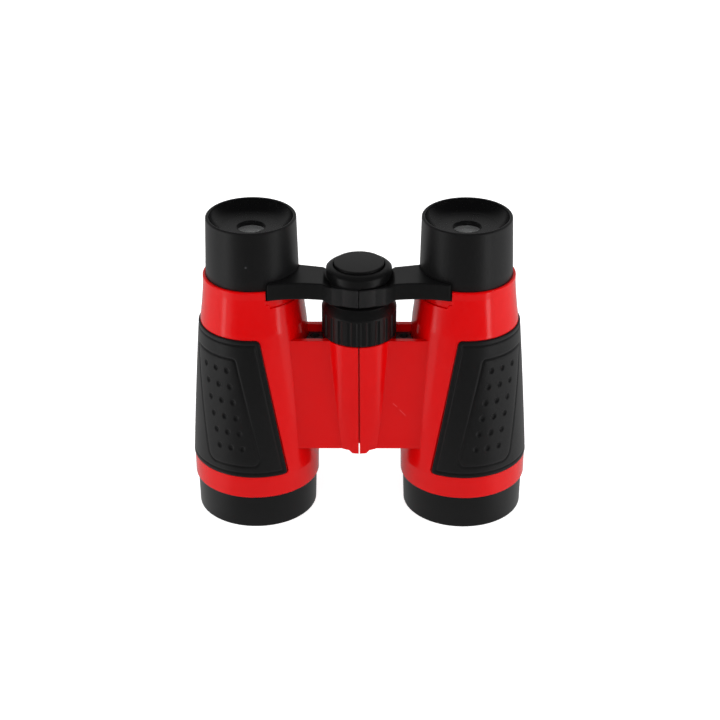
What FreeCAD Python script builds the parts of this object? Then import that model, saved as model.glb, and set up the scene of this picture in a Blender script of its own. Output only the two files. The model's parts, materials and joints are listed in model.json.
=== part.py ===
"""Toy binoculars: two red barrels on one hinge, with a centre focus wheel that raises both eyepieces.

The object stands on its front rings. Z is up, X runs from the left barrel to the right one as seen from
the front, and Y runs to the back. The origin is on the floor, midway between the barrels. Every left piece
is drawn once and mirrored for the right, and only the hinge knuckles and the bridge hubs differ by side.
All sizes are in millimetres.
"""
import FreeCAD
import Part
import math
import os
import Sketcher

Vector = FreeCAD.Vector
doc = FreeCAD.newDocument("ToyBinoculars")


# The size sheet: every driving size, once, with what it measures.
SIZES = [
    ("axis_spacing", 60.0, "between the two barrel axes, opened flat"),
    ("hinge_forward", 5.0, "hinge axis, in front of the barrel axes"),
    ("running_gap", 0.05, "round a pin or a thread"),
    ("slide_gap", 0.1, "round an eyepiece tube in its barrel"),
    ("seat_gap", 0.05, "round a piece that is glued into a seat"),
    ("moving_gap", 0.2, "between neighbours that move past each other"),
    ("seam_gap", 0.3, "the seam between the two hinge covers"),
    ("overrun", 1.0, "how far a cutting shape runs past the surface"),

    ("ring_height", 10.3, "black front ring, from the floor"),
    ("ring_foot_inset", 0.9, "front ring, set in from the barrel, at the floor"),
    ("ring_inset", 0.65, "front ring, set in from the barrel, at its top"),
    ("ring_wall", 1.5, "front ring, wall of its spigot inside the barrel"),
    ("ring_round", 0.5, "front ring, rounding of the foot"),
    ("spigot_height", 5.1, "front ring, the part inside the barrel"),
    ("spigot_wall", 2.1, "barrel, round the spigot of the front ring"),

    ("objective_inset", 0.3, "objective lens, set in from the spigot's outside"),
    ("objective_edge", 2.0, "objective lens, edge thickness"),
    ("objective_bulge", 1.2, "objective lens, each face"),
    ("ledge_reach", 1.0, "barrel ledge, over the edge of the objective lens"),
    ("ledge_thickness", 1.6, "barrel ledge over the objective lens"),

    ("foot_radius", 18.0, "barrel, outside, over the front ring"),
    ("foot_round", 0.3, "barrel, rounded lower edge"),
    ("belly_height", 16.9, "where the barrel is widest"),
    ("belly_swell", 0.1, "barrel, how much wider it is there than at the foot"),
    ("shoulder_height", 60.8, "where the barrel turns in"),
    ("shoulder_radius", 15.0, "barrel, where it turns in"),
    ("side_sag", 0.12, "bulge of the barrel side"),
    ("neck_sag", 0.12, "hollow of the barrel neck"),
    ("rim_height", 71.5, "foot of the barrel rim"),
    ("rim_radius", 13.95, "barrel rim, outside"),
    ("barrel_top", 73.9, "barrel rim, top"),
    ("lip_round", 0.35, "barrel rim, rounding"),
    ("barrel_wall", 1.6, "barrel, wall at the belly"),
    ("guide_foot", 52.0, "lower end of the bore that guides the eyepiece"),
    ("guide_step", 0.6, "barrel bore, wider below the guide"),

    ("notch_reach", 4.3, "rim notch, outer edge from the barrel axis"),
    ("notch_floor", 71.0, "rim notch, floor"),
    ("notch_back", 1.2, "rim notch, back edge behind the barrel axis"),
    ("recess_floor", 68.7, "shallow recess under the rim notch, floor"),
    ("recess_round", 1.2, "shallow recess under the rim notch, rounded lower corner"),
    ("recess_skin", 0.45, "barrel wall left behind the recess"),

    ("grip_foot", 17.2, "black grip, lower edge"),
    ("grip_top", 59.7, "black grip, top edge"),
    ("grip_edge_top", 2.3, "grip front edge at the top, from the barrel axis"),
    ("grip_edge_foot", 9.8, "grip front edge at the foot, from the barrel axis"),
    ("grip_depth", 0.6, "grip, sunk in the barrel"),
    ("grip_proud_top", 0.45, "grip, standing proud at the top"),
    ("grip_proud_foot", 0.2, "grip, standing proud at the foot"),
    ("grip_corner", 1.2, "grip, rounded corners"),
    ("grip_margin", 0.05, "gap round the edge of a grip"),

    ("wing_foot", 23.7, "hinge wing, lower edge"),
    ("wing_top", 57.6, "hinge wing, upper edge"),
    ("wing_depth_top", 6.0, "hinge wing, half its thickness at the top"),
    ("wing_depth_foot", 7.5, "hinge wing, half its thickness at the foot"),
    ("wing_wall", 1.6, "hinge wing, wall and floor"),
    ("ridge_radius_top", 10.2, "hinge cover, outside, at the top"),
    ("ridge_radius_foot", 9.0, "hinge cover, outside, at the foot"),
    ("tab_drop", 0.9, "hinge cover, narrow tab below the wing"),
    ("tab_width", 5.8, "hinge cover, narrow tab below the wing"),
    ("fold_angle", 40.0, "degrees that the right barrel folds back"),

    ("knuckle_foot", 24.0, "lowest hinge knuckle, underside"),
    ("knuckle_top", 53.0, "highest hinge knuckle, top"),
    ("knuckle_radius", 5.0, "hinge knuckle, outside"),
    ("web_thickness", 1.8, "web that carries the knuckles"),
    ("web_back", 5.6, "back face of the web, in front of the barrel axes"),
    ("web_root", 2.5, "how near the web runs to the hinge plane"),

    ("lug_top", 55.2, "strap lug, top face"),
    ("lug_thickness", 2.0, "strap lug"),
    ("lug_inner", 10.4, "strap lug, inner end from the hinge plane"),
    ("lug_outer", 16.2, "strap lug, outer end from the hinge plane"),
    ("lug_corner", 1.8, "strap lug, cut outer corner"),
    ("lug_hole_radius", 1.4, "strap lug, cord hole"),
    ("lug_hole_rim", 0.3, "strap lug, between the cord hole and the barrel"),
    ("lug_hole_forward", 2.9, "strap lug, cord hole in front of the barrel axes"),
    ("lug_ledge", 1.1, "ledge under the strap lug"),

    ("axle_radius", 3.0, "hinge axle"),
    ("axle_drop", 0.6, "hinge axle, below the lowest knuckle"),
    ("flange_radius", 4.6, "hinge axle, head"),
    ("flange_height", 1.2, "hinge axle, head"),
    ("spindle_radius", 1.6, "focus screw, plain lower end"),
    ("spindle_drop", 0.75, "focus screw, below the hinge axle"),
    ("clip_radius", 2.8, "spindle clip"),
    ("clip_height", 0.6, "spindle clip"),

    ("washer_height", 0.6, "wheel washer"),
    ("wheel_foot", 57.9, "focus wheel, underside of the rim"),
    ("wheel_radius", 10.5, "focus wheel, over the ribs"),
    ("wheel_shoulder", 66.0, "focus wheel, where the shoulder starts"),
    ("wheel_top", 68.6, "focus wheel, top face"),
    ("wheel_top_radius", 9.2, "focus wheel, edge of the top face"),
    ("wheel_edge", 0.35, "focus wheel, rounded edges"),
    ("wheel_hollow", 7.4, "focus wheel, hollow under the top"),
    ("wheel_wall", 2.0, "focus wheel, top wall"),
    ("boss_radius", 4.4, "focus wheel, centre boss"),
    ("boss_rise", 0.5, "focus wheel, boss over the top face"),
    ("flute_count", 24, "focus wheel, finger flutes"),
    ("flute_radius", 0.95, "focus wheel, finger flute"),
    ("flute_depth", 0.38, "focus wheel, finger flute"),
    ("flute_top", 65.4, "focus wheel, upper end of the flutes"),

    ("thread_radius", 3.0, "focus screw, over the thread"),
    ("screw_top", 75.9, "focus screw, upper end"),
    ("screw_chamfer", 0.6, "focus screw, upper end"),

    ("hub_foot", 69.8, "bridge hub, lower edge"),
    ("hub_radius", 9.7, "bridge hub, outside"),
    ("hub_inner", 8.6, "bridge hub, inside of the skirt"),
    ("hub_step", 75.1, "bridge hub, where the collar starts"),
    ("collar_radius", 9.2, "hub collar"),
    ("collar_shoulder", 77.7, "hub collar, where its slope starts"),
    ("collar_sag", 0.15, "hub collar, bulge of its slope"),
    ("collar_top", 78.65, "hub collar, top"),
    ("collar_top_radius", 7.6, "hub collar, top edge"),
    ("sleeve_radius", 5.0, "threaded sleeve in the hub"),
    ("right_ring_foot", 71.0, "right hub ring, underside"),
    ("keeper_height", 0.9, "ring that keeps the right hub on the sleeve"),
    ("keeper_width", 1.6, "ring that keeps the right hub on the sleeve"),

    ("cap_radius", 6.95, "hub cap"),
    ("cap_groove", 0.3, "groove round the hub cap"),
    ("cap_foot", 76.8, "hub cap, underside"),
    ("cap_edge", 79.3, "hub cap, top of its edge"),
    ("cap_dome", 0.2, "hub cap, rise of the dome"),
    ("cap_plug", 4.0, "hub cap, hollow under the top"),
    ("cap_skin", 1.0, "hub cap, thickness of the top"),

    ("arm_reach", 25.2, "bridge arm, outer end from the hinge plane"),
    ("arm_foot", 71.3, "bridge arm, underside"),
    ("arm_top", 76.2, "bridge arm, top face"),
    ("arm_front", 13.45, "bridge arm, front face at the outer end"),
    ("arm_root", 10.0, "bridge arm, where it meets the hub"),
    ("arm_root_front", 12.8, "bridge arm, front face at the hub"),
    ("arm_hollow", 0.9, "bridge arm, hollow of the front face"),
    ("arm_fillet", 6.0, "bridge arm, hollow corner where its front meets the hub"),
    ("arm_back_outer", 0.1, "bridge arm, back face at the tube"),
    ("arm_back_root", 2.2, "bridge arm, back face at the hub"),
    ("arm_tube_side", 17.5, "bridge arm, back corner at the tube"),
    ("arm_wall", 1.2, "bridge arm, walls and top"),
    ("arm_rise_start", 7.8, "bridge arm, start of its rise from the hub"),
    ("arm_rise_end", 10.0, "bridge arm, end of its rise from the hub"),

    ("tube_radius", 13.05, "eyepiece tube, outside"),
    ("tube_taper", 0.39, "eyepiece tube, how much narrower it is at the rim"),
    ("tube_foot", 54.2, "eyepiece tube, lower end"),
    ("tube_straight", 76.6, "eyepiece tube, top of its straight part"),
    ("tube_wall", 1.3, "eyepiece tube"),
    ("rim_top", 91.24, "eyepiece rim"),
    ("rim_width", 1.01, "eyepiece rim, from its outer to its inner edge"),
    ("rim_bulge", 0.5, "eyepiece rim, height of its rounding"),
    ("dish_depth", 3.5, "eye dish, from the rim to the hole"),
    ("dish_side", 2.85, "eye dish, width of its steep side"),
    ("dish_side_sag", 0.35, "eye dish, hollow of its steep side"),
    ("dish_rise", 0.3, "eye dish, rise of its floor from the hole to the steep side"),
    ("dish_floor_sag", 0.08, "eye dish, hollow of its floor"),
    ("dish_wall", 1.4, "eye dish, thickness"),
    ("eye_hole", 4.0, "eye hole"),
    ("eye_lens_radius", 5.6, "eye lens"),
    ("eye_lens_edge", 2.2, "eye lens, edge thickness"),
    ("eye_lens_hollow", 0.5, "eye lens, each face"),
    ("socket_wall", 1.3, "eye lens socket"),
    ("socket_depth", 4.4, "eye lens socket"),
    ("retainer_height", 1.6, "ring under the eye lens"),
    ("retainer_bore", 4.3, "ring under the eye lens"),
]
KNUCKLES = 5

# Sags of arcs as shares: a quarter circle's of its radius, and a slightly flatter corner's of its size.
QUARTER_ROUND_SHARE = 1 - math.sqrt(0.5)
CORNER_SHARE = 0.26


class Size:
    """A length from the sheet, or sums of such lengths, as a number and as the text that binds it."""

    def __init__(self, value, text):
        self.value = value
        self.text = text

    @staticmethod
    def of(thing):
        return thing if isinstance(thing, Size) else Size(float(thing), repr(thing))

    def joined(self, sign, left, right, value):
        return Size(value, f"({left.text} {sign} {right.text})")

    def __add__(self, other):
        other = Size.of(other)
        return self.joined("+", self, other, self.value + other.value)

    def __radd__(self, other):
        return Size.of(other) + self

    def __sub__(self, other):
        other = Size.of(other)
        return self.joined("-", self, other, self.value - other.value)

    def __rsub__(self, other):
        return Size.of(other) - self

    def __mul__(self, other):
        other = Size.of(other)
        return self.joined("*", self, other, self.value * other.value)

    def __rmul__(self, other):
        return Size.of(other) * self

    def __truediv__(self, other):
        other = Size.of(other)
        return self.joined("/", self, other, self.value / other.value)

    def __neg__(self):
        return Size(-self.value, f"(-{self.text})")


def make_sheet():
    """Fills the sheet and gives each size back under its own name."""
    sheet = doc.addObject("Spreadsheet::Sheet", "Sizes")
    sizes = {}
    for row, (name, value, meaning) in enumerate(SIZES, start=1):
        sheet.set(f"A{row}", name)
        sheet.set(f"B{row}", repr(value))
        sheet.set(f"C{row}", meaning)
        sheet.setAlias(f"B{row}", name)
        sizes[name] = Size(float(value), f"Sizes.{name}")
    doc.recompute()
    return sizes


class Names:
    """The sizes as attributes, such as S.ring_height."""

    def __init__(self, sizes):
        self.__dict__.update(sizes)


S = Names(make_sheet())
ZERO = Size(0.0, "0")
BARREL_X = S.axis_spacing / 2
BELLY_RADIUS = S.foot_radius + S.belly_swell
HINGE_Y = -S.hinge_forward


# Helpers that draw one kind of shape each.
def bind(thing, prop, size):
    """Sets a property to a size and keeps it bound to the sheet."""
    size = Size.of(size)
    thing.setExpression(prop, size.text)


def place(thing, x=ZERO, y=ZERO, z=ZERO):
    """Binds where a shape stands."""
    for letter, size in (("x", x), ("y", y), ("z", z)):
        bind(thing, f"Placement.Base.{letter}", size)


def origin_plane(body, role):
    """One of a body's own origin planes."""
    return [feature for feature in body.Origin.OriginFeatures if feature.Role == role][0]


def add_edge(sketch, start, end, sag):
    """A straight or round edge of an outline, and which of its ends is its start.

    A sketch keeps every arc turning to the left, so an arc that turns to the right is added from its end.
    """
    if sag is None:
        sketch.addGeometry(Part.LineSegment(start, end), False)
        return 1, 2
    chord = end - start
    radius = (chord.Length * chord.Length) / (8 * sag.value) + sag.value / 2
    left_side = Vector(-chord.y, chord.x, 0) / chord.Length
    centre = (start + end) / 2 + left_side * (radius - sag.value)
    first, last = (start, end) if sag.value > 0 else (end, start)
    angles = [math.atan2(point.y - centre.y, point.x - centre.x) for point in (first, last)]
    circle = Part.Circle(centre, Vector(0, 0, 1), abs(radius))
    sketch.addGeometry(Part.ArcOfCircle(circle, angles[0], angles[1]), False)
    return (1, 2) if sag.value > 0 else (2, 1)


def fix(sketch, kind, *where, size):
    """One dimension of a sketch, bound to the sheet."""
    index = sketch.addConstraint(Sketcher.Constraint(kind, *where, size.value))
    sketch.setExpression(f"Constraints[{index}]", size.text)


def arc_radius(first, second, sag):
    """The radius of an arc between two points of an outline, from its sag."""
    across = (first[0] - second[0]) * (first[0] - second[0])
    along = (first[1] - second[1]) * (first[1] - second[1])
    rise = Size(abs(sag.value), f"abs({sag.text})")
    return (across + along) / (8 * rise) + rise / 2


def root(size):
    """The square root of a size."""
    return Size(math.sqrt(size.value), f"sqrt({size.text})")


def dome_sag(radius, rise):
    """The sag of an arc from the foot of a dome to its top, which puts the arc's centre on the axis."""
    sphere = (radius * radius + rise * rise) / (2 * rise)
    return sphere - root(sphere * sphere - sphere * rise / 2)


def draw_outline(body, role, points):
    """A closed outline on one of the body's planes.

    Each point is (across, along) or (across, along, sag): with a sag, the edge that leaves it is an arc that
    swells by the sag to the right of its way.
    """
    sketch = body.newObject("Sketcher::SketchObject", body.Name + "Outline")
    sketch.AttachmentSupport = [(origin_plane(body, role), "")]
    sketch.MapMode = "FlatFace"
    corners = [(Size.of(point[0]), Size.of(point[1])) for point in points]
    sags = [point[2] if len(point) > 2 else None for point in points]
    count = len(corners)
    ends = []
    for number, corner in enumerate(corners):
        following = corners[(number + 1) % count]
        start = Vector(corner[0].value, corner[1].value, 0)
        end = Vector(following[0].value, following[1].value, 0)
        ends.append(add_edge(sketch, start, end, sags[number]))
    for number in range(count):
        following = (number + 1) % count
        sketch.addConstraint(
            Sketcher.Constraint("Coincident", number, ends[number][1], following, ends[following][0]))
    for number, corner in enumerate(corners):
        fix(sketch, "DistanceX", -1, 1, number, ends[number][0], size=corner[0])
        fix(sketch, "DistanceY", -1, 1, number, ends[number][0], size=corner[1])
        if sags[number] is not None:
            radius = arc_radius(corner, corners[(number + 1) % count], sags[number])
            fix(sketch, "Radius", number, size=radius)
    return sketch


def turned(label, points, x=ZERO, y=ZERO):
    """A body turned about a line parallel to Z, from an outline of (radius, height) points."""
    body = doc.addObject("PartDesign::Body", label.replace(" ", "_"))
    body.Label = label
    sketch = draw_outline(body, "XZ_Plane", points)
    turn = body.newObject("PartDesign::Revolution", body.Name + "Turn")
    turn.Profile = sketch
    turn.ReferenceAxis = (sketch, ["V_Axis"])
    turn.Angle = 360
    place(body, x, y)
    return body


def prism(label, role, points, length, x=ZERO, y=ZERO, z=ZERO, middle=False):
    """A body pushed out from an outline on one of the origin planes."""
    body = doc.addObject("PartDesign::Body", label.replace(" ", "_"))
    body.Label = label
    sketch = draw_outline(body, role, points)
    pad = body.newObject("PartDesign::Pad", body.Name + "Pad")
    pad.Profile = sketch
    bind(pad, "Length", length)
    pad.Midplane = middle
    place(body, x, y, z)
    return body


def cylinder(label, radius, foot, top, x=ZERO, y=ZERO):
    """A plain upright cylinder."""
    shape = doc.addObject("Part::Cylinder", label.replace(" ", "_"))
    shape.Label = label
    bind(shape, "Radius", radius)
    bind(shape, "Height", top - foot)
    place(shape, x, y, foot)
    return shape


def cone(label, foot_radius, top_radius, foot, top, y):
    """An upright cone on the hinge plane."""
    shape = doc.addObject("Part::Cone", label.replace(" ", "_"))
    shape.Label = label
    bind(shape, "Radius1", foot_radius)
    bind(shape, "Radius2", top_radius)
    bind(shape, "Height", top - foot)
    place(shape, y=y, z=foot)
    return shape


def box(label, low, high):
    """A block from its lowest to its highest corner."""
    shape = doc.addObject("Part::Box", label.replace(" ", "_"))
    shape.Label = label
    for prop, near, far in zip(("Length", "Width", "Height"), low, high):
        bind(shape, prop, far - near)
    place(shape, *low)
    return shape


def joined(label, shapes):
    """Shapes fused into one solid."""
    fuse = doc.addObject("Part::MultiFuse", label.replace(" ", "_"))
    fuse.Label = label
    fuse.Shapes = shapes
    fuse.Refine = True
    return fuse


def shared_part(label, shapes):
    """Only what the shapes have in common."""
    common = doc.addObject("Part::MultiCommon", label.replace(" ", "_"))
    common.Label = label
    common.Shapes = shapes
    return common


def cut(label, base, tool):
    """The base without what the tool covers."""
    result = doc.addObject("Part::Cut", label.replace(" ", "_"))
    result.Label = label
    result.Base = base
    result.Tool = tool
    return result


def mirrored(label, source):
    """The same shape on the other side of the hinge plane."""
    mirror = doc.addObject("Part::Mirroring", label.replace(" ", "_"))
    mirror.Label = label
    mirror.Source = source
    mirror.Normal = Vector(1, 0, 0)
    mirror.Base = Vector(0, 0, 0)
    return mirror


def between(start, end, share):
    """A size part of the way from one size to another."""
    return start + (end - start) * share


def barrel_radius(height):
    """The barrel's outside at a height of its side, on the straight line under its bulge."""
    share = (S.shoulder_height - height) / (S.shoulder_height - S.belly_height)
    return between(S.shoulder_radius, BELLY_RADIUS, share)


def wing_depth(height):
    """Half the wing's thickness at a height."""
    share = (height - S.wing_foot) / (S.wing_top - S.wing_foot)
    return between(S.wing_depth_foot, S.wing_depth_top, share)


# Front rings and objective lenses.
SPIGOT_RADIUS = S.foot_radius - S.spigot_wall
SPIGOT_TOP = S.ring_height + S.spigot_height
RING_BORE = SPIGOT_RADIUS - S.ring_wall
OBJECTIVE_RADIUS = SPIGOT_RADIUS - S.objective_inset
LEDGE_FOOT = SPIGOT_TOP + S.objective_edge + S.seat_gap
LEDGE_TOP = LEDGE_FOOT + S.ledge_thickness


def front_ring():
    """The black ring that the object stands on, with the spigot that holds the lens."""
    foot_radius = S.foot_radius - S.ring_foot_inset
    return turned("left_front_ring", [
        (RING_BORE, ZERO),
        (foot_radius - S.ring_round, ZERO, S.ring_round * QUARTER_ROUND_SHARE),
        (foot_radius, S.ring_round),
        (S.foot_radius - S.ring_inset, S.ring_height),
        (SPIGOT_RADIUS, S.ring_height),
        (SPIGOT_RADIUS, SPIGOT_TOP),
        (RING_BORE, SPIGOT_TOP),
    ], x=-BARREL_X)


def lens(label, radius, face, foot, top, rise, way):
    """A lens with a flat edge and two round faces, which bulge out where way is 1 and in where it is -1."""
    sag = dome_sag(face, rise) * way
    return turned(label, [
        (ZERO, foot - rise * way, sag),
        (face, foot),
        (radius, foot),
        (radius, top),
        (face, top, sag),
        (ZERO, top + rise * way),
    ], x=-BARREL_X)


def objective_lens():
    """A lens that bulges on both faces, clamped between the front ring and the barrel's ledge."""
    return lens("left_objective_lens", OBJECTIVE_RADIUS, RING_BORE - S.seat_gap, SPIGOT_TOP,
                SPIGOT_TOP + S.objective_edge, S.objective_bulge, 1)


# Red barrels, with the hinge wings in one piece with them.
def barrel_outside():
    """The solid that the barrel is bored from."""
    return turned("barrel outside", [
        (ZERO, S.ring_height),
        (S.foot_radius - S.foot_round, S.ring_height, S.foot_round * QUARTER_ROUND_SHARE),
        (S.foot_radius, S.ring_height + S.foot_round),
        (BELLY_RADIUS, S.belly_height, S.side_sag),
        (S.shoulder_radius, S.shoulder_height, -S.neck_sag),
        (S.rim_radius, S.rim_height),
        (S.rim_radius, S.barrel_top - S.lip_round, S.lip_round * QUARTER_ROUND_SHARE),
        (S.rim_radius - S.lip_round, S.barrel_top),
        (ZERO, S.barrel_top),
    ], x=-BARREL_X)


def barrel_bore():
    """The inside of the barrel: guide bore, cone, lens ledge and ring seat."""
    guide = S.tube_radius + S.slide_gap
    seat = SPIGOT_RADIUS + S.seat_gap
    ledge = OBJECTIVE_RADIUS - S.ledge_reach
    return turned("barrel bore", [
        (ZERO, S.ring_height - S.overrun),
        (seat, S.ring_height - S.overrun),
        (seat, LEDGE_FOOT),
        (ledge, LEDGE_FOOT),
        (ledge, LEDGE_TOP),
        (BELLY_RADIUS - S.barrel_wall, LEDGE_TOP),
        (guide + S.guide_step, S.guide_foot - S.guide_step),
        (guide, S.guide_foot),
        (guide, S.barrel_top + S.overrun),
        (ZERO, S.barrel_top + S.overrun),
    ], x=-BARREL_X)


def rim_notch():
    """Room in the barrel rim for the bridge arm, through its whole wall."""
    outer = S.notch_reach - BARREL_X
    return box("rim notch", (outer, -S.rim_radius - S.overrun, S.notch_floor),
               (ZERO, S.notch_back, S.barrel_top + S.overrun))


def notch_recess():
    """The shallow recess below the rim notch, with one rounded corner, outside a thin skin of the barrel."""
    outer = S.notch_reach - BARREL_X
    top = S.notch_floor + S.overrun
    outline = prism("recess outline", "XZ_Plane", [
        (outer, top),
        (outer, S.recess_floor + S.recess_round, -S.recess_round * QUARTER_ROUND_SHARE),
        (outer + S.recess_round, S.recess_floor),
        (ZERO, S.recess_floor),
        (ZERO, top),
    ], S.notch_back + S.rim_radius + S.overrun, y=S.notch_back)
    skin = cylinder("recess skin", S.tube_radius + S.slide_gap + S.recess_skin, S.recess_floor - S.overrun,
                    top + S.overrun, x=-BARREL_X)
    return cut("notch recess", outline, skin)


def grip_edge(height):
    """Where the slanted edge of the grip runs at a height."""
    share = (height - S.grip_foot) / (S.grip_top - S.grip_foot)
    return between(S.grip_edge_foot, S.grip_edge_top, share) - BARREL_X


def grip_outline(label, margin, thickness_top, thickness_foot, depth):
    """The band round the barrel that a grip fills, between two heights, cut along its slanted edge."""
    foot = S.grip_foot - margin
    top = S.grip_top + margin
    low = foot - S.overrun
    high = top + S.overrun
    band = turned(label + " band", [
        (barrel_radius(low) - depth, low),
        (barrel_radius(low) + thickness_foot, low, S.side_sag),
        (barrel_radius(high) + thickness_top, high),
        (barrel_radius(high) - depth, high, -S.side_sag),
    ], x=-BARREL_X)
    window = prism(label + " window", "XZ_Plane", [
        (-S.axis_spacing, foot),
        (grip_edge(foot) + margin - S.grip_corner, foot, S.grip_corner * CORNER_SHARE),
        (grip_edge(foot + S.grip_corner) + margin, foot + S.grip_corner),
        (grip_edge(top - S.grip_corner) + margin, top - S.grip_corner, S.grip_corner * CORNER_SHARE),
        (grip_edge(top) + margin - S.grip_corner, top),
        (-S.axis_spacing, top),
    ], S.axis_spacing, middle=True)
    return shared_part(label, [band, window])


def grip():
    """The soft black panel that wraps the outer side of the barrel."""
    return grip_outline("left_grip", ZERO, S.grip_proud_top, S.grip_proud_foot, S.grip_depth)


def wing_prism(label, wall, foot, top):
    """The flat part of the wing, or its hollow, from the barrel axis to the hinge plane."""
    depth_foot = wing_depth(foot) - wall
    depth_top = wing_depth(top) - wall
    return prism(label, "YZ_Plane", [
        (-depth_foot, foot),
        (depth_foot, foot),
        (depth_top, top),
        (-depth_top, top),
    ], BARREL_X, x=-BARREL_X, y=HINGE_Y)


def keep_sector(label, foot, top):
    """The room of the left half round the hinge: all in front, and behind only up to half the fold."""
    half_fold = S.fold_angle / 2
    lean = Size(math.tan(math.radians(half_fold.value)), f"tan({half_fold.text} * 1 deg)")
    gap = S.seam_gap / 2
    return prism(label, "XY_Plane", [
        (-gap, -S.axis_spacing),
        (-gap, HINGE_Y),
        (-gap - S.axis_spacing * lean, HINGE_Y + S.axis_spacing),
        (-S.axis_spacing, HINGE_Y + S.axis_spacing),
        (-S.axis_spacing, -S.axis_spacing),
    ], top - foot, z=foot)


def cover_cone(label, wall, foot, top):
    """The round hinge cover, or its hollow, between two heights."""
    slope = (S.ridge_radius_top - S.ridge_radius_foot) / (S.wing_top - S.wing_foot)
    radii = [S.ridge_radius_foot + slope * (height - S.wing_foot) - wall for height in (foot, top)]
    return cone(label, radii[0], radii[1], foot, top, HINGE_Y)


def cover_tab():
    """Half of the narrow tab that the hinge cover ends in below the wing, with slanted corners."""
    foot = S.wing_foot - S.tab_drop
    top = S.wing_foot + S.wing_wall
    side = S.tab_width / 2
    return shared_part("cover tab", [
        cover_cone("tab round", ZERO, foot, top),
        prism("tab outline", "XZ_Plane", [
            (-side + S.tab_drop, foot),
            (ZERO, foot),
            (ZERO, top),
            (-side, top),
            (-side, S.wing_foot),
        ], S.axis_spacing, middle=True),
    ])


def wing_shell():
    """The hollow wing with half of the round hinge cover, open at the top."""
    outside = joined("wing outside", [
        wing_prism("wing block", ZERO, S.wing_foot, S.wing_top),
        cover_cone("hinge cover", ZERO, S.wing_foot, S.wing_top),
        cover_tab(),
    ])
    foot = S.wing_foot - S.tab_drop - S.overrun
    top = S.wing_top + S.overrun
    inside = joined("wing inside", [
        wing_prism("wing hollow", S.wing_wall, S.wing_foot + S.wing_wall, top),
        cover_cone("hinge cover hollow", S.wing_wall, foot, top),
    ])
    walls = cut("wing walls", outside, inside)
    return shared_part("wing shell", [walls, keep_sector("wing sector", foot, top)])


def lug_ledges():
    """Two ledges in the wing pocket that carry the strap lug."""
    under = S.lug_top - S.lug_thickness
    depth = wing_depth(under)
    foot = under - S.wing_wall
    ledges = []
    for name, side in (("front", -1), ("back", 1)):
        inner = HINGE_Y + side * (depth - S.wing_wall - S.lug_ledge)
        outer = HINGE_Y + side * (depth - S.wing_wall / 2)
        low, high = (outer, inner) if side < 0 else (inner, outer)
        ledges.append(box(name + " lug ledge", (-S.lug_outer, low, foot), (-S.lug_inner, high, under)))
    return ledges


def web():
    """The upright web in the middle of the wing, clear of the other side's knuckles."""
    back = -S.web_back
    return box("web", (-S.lug_outer - S.overrun, back - S.web_thickness, S.wing_foot),
               (-S.knuckle_radius - S.moving_gap * 2, back, S.knuckle_top))


def barrel_blank():
    """All that the two barrels have in common, as the left one."""
    return joined("barrel blank", [barrel_outside(), wing_shell(), web()] + lug_ledges())


def knuckle_room(number):
    """The foot and the top of one knuckle of the stack."""
    pitch = (S.knuckle_top - S.knuckle_foot) / KNUCKLES
    foot = S.knuckle_foot + pitch * number
    return foot, foot + pitch - S.moving_gap


def knuckles(side, sign):
    """The knuckles of one side and the webs that join them to its wing."""
    shapes = []
    first = 0 if side == "left" else 1
    for number in range(first, KNUCKLES, 2):
        foot, top = knuckle_room(number)
        shapes.append(cylinder(f"{side} knuckle {number}", S.knuckle_radius, foot, top, y=HINGE_Y))
        near = S.web_root * sign
        far = (S.knuckle_radius + S.wing_wall) * sign
        low, high = (far, near) if sign < 0 else (near, far)
        back = -S.web_back
        shapes.append(box(f"{side} knuckle web {number}", (low, back - S.web_thickness, foot),
                          (high, back, top)))
    return shapes


def barrels():
    """Both red barrels."""
    blank = barrel_blank()
    seat = grip_outline("grip seat", S.grip_margin, S.overrun, S.overrun, S.grip_depth + S.seat_gap)
    removed = joined("barrel hollows", [barrel_bore(), rim_notch(), notch_recess(), seat])
    result = {}
    for side, sign, shell, hollows in (
            ("left", -1, blank, removed),
            ("right", 1, mirrored("right barrel blank", blank), mirrored("right barrel hollows", removed))):
        gap = ZERO if side == "left" else S.running_gap
        pin = cylinder(side + " axle hole", S.axle_radius + gap, S.knuckle_foot - S.overrun,
                       S.knuckle_top + S.overrun, y=HINGE_Y)
        solid = joined(side + " barrel solid", [shell] + knuckles(side, sign))
        result[side + "_barrel"] = cut(side + "_barrel", solid, joined(side + " barrel cuts", [hollows, pin]))
    return result


# The hinge and the focus wheel.
FLANGE_FOOT = S.knuckle_top
FLANGE_TOP = FLANGE_FOOT + S.flange_height
AXLE_FOOT = S.knuckle_foot - S.axle_drop
WASHER_FOOT = FLANGE_TOP + S.running_gap
WASHER_TOP = WASHER_FOOT + S.washer_height
BOSS_FOOT = WASHER_TOP + S.running_gap
BOSS_TOP = S.wheel_top + S.boss_rise
CLIP_TOP = AXLE_FOOT - S.moving_gap


def hinge_axle():
    """A hollow pin through all the knuckles, with a head on top."""
    bore = S.spindle_radius + S.running_gap
    return turned("hinge_axle", [
        (bore, AXLE_FOOT),
        (S.axle_radius, AXLE_FOOT),
        (S.axle_radius, FLANGE_FOOT),
        (S.flange_radius, FLANGE_FOOT),
        (S.flange_radius, FLANGE_TOP),
        (bore, FLANGE_TOP),
    ], y=HINGE_Y)


def flat_ring(label, bore, radius, foot, top, x=ZERO, y=HINGE_Y):
    """A flat ring, such as a washer."""
    return turned(label, [(bore, foot), (radius, foot), (radius, top), (bore, top)], x=x, y=y)


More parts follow.
